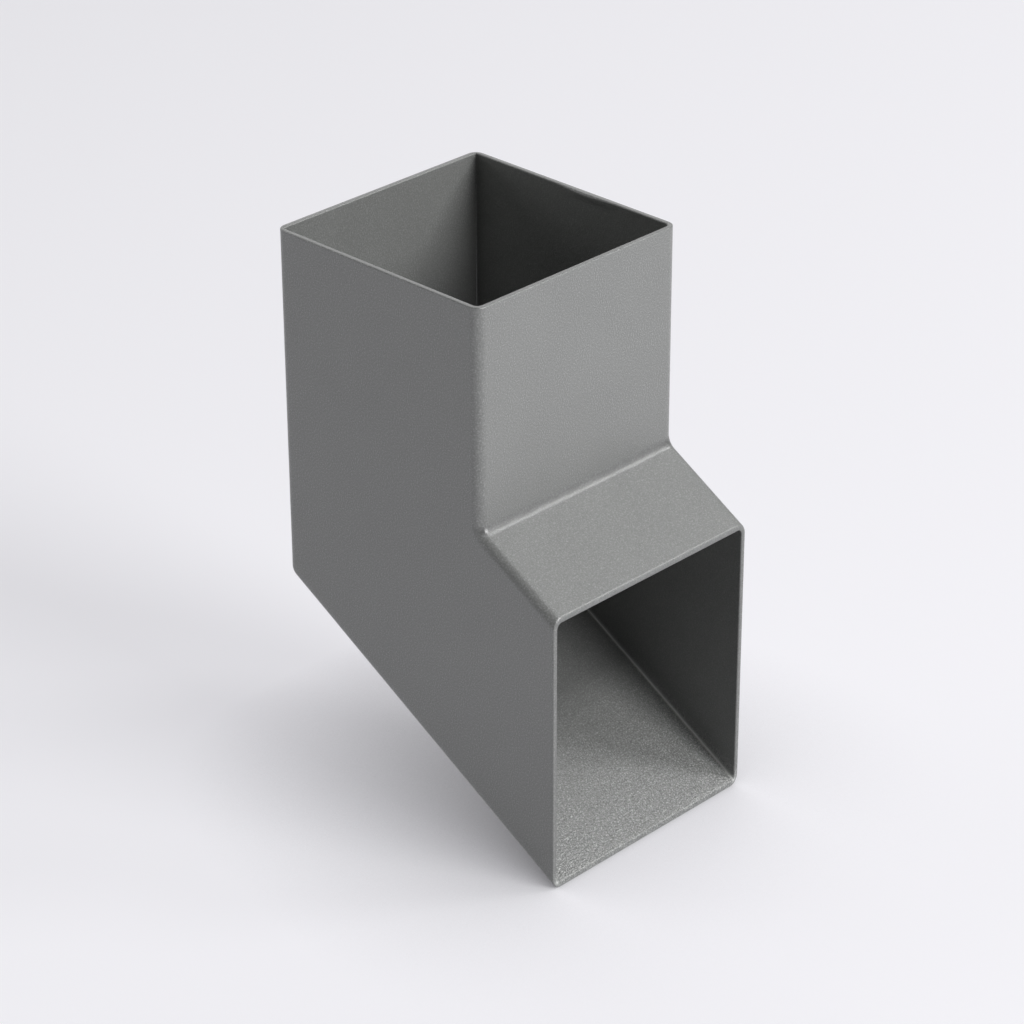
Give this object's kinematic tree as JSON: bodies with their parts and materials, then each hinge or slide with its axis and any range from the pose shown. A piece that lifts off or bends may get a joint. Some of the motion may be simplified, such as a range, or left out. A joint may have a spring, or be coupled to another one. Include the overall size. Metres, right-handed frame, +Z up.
{
  "type": "downpipe shoe",
  "caption": "Square downpipe shoe: an upright square tube with one bend into a sloping throat that throws water out through a plumb-cut outlet.",
  "frame": {"origin": "centre of the square inlet, on the plane of its rim", "axes": "+Z up the downpipe, -Y out of the outlet, +X to the right as one faces the wall behind the shoe"},
  "size_m": [0.1, 0.1355, 0.2161],
  "materials": {
    "powder_coat": "fine-textured satin grey powder coat"
  },
  "bodies": {
    "root": {"shoe_body": "powder_coat"}
  },
  "joints": []
}
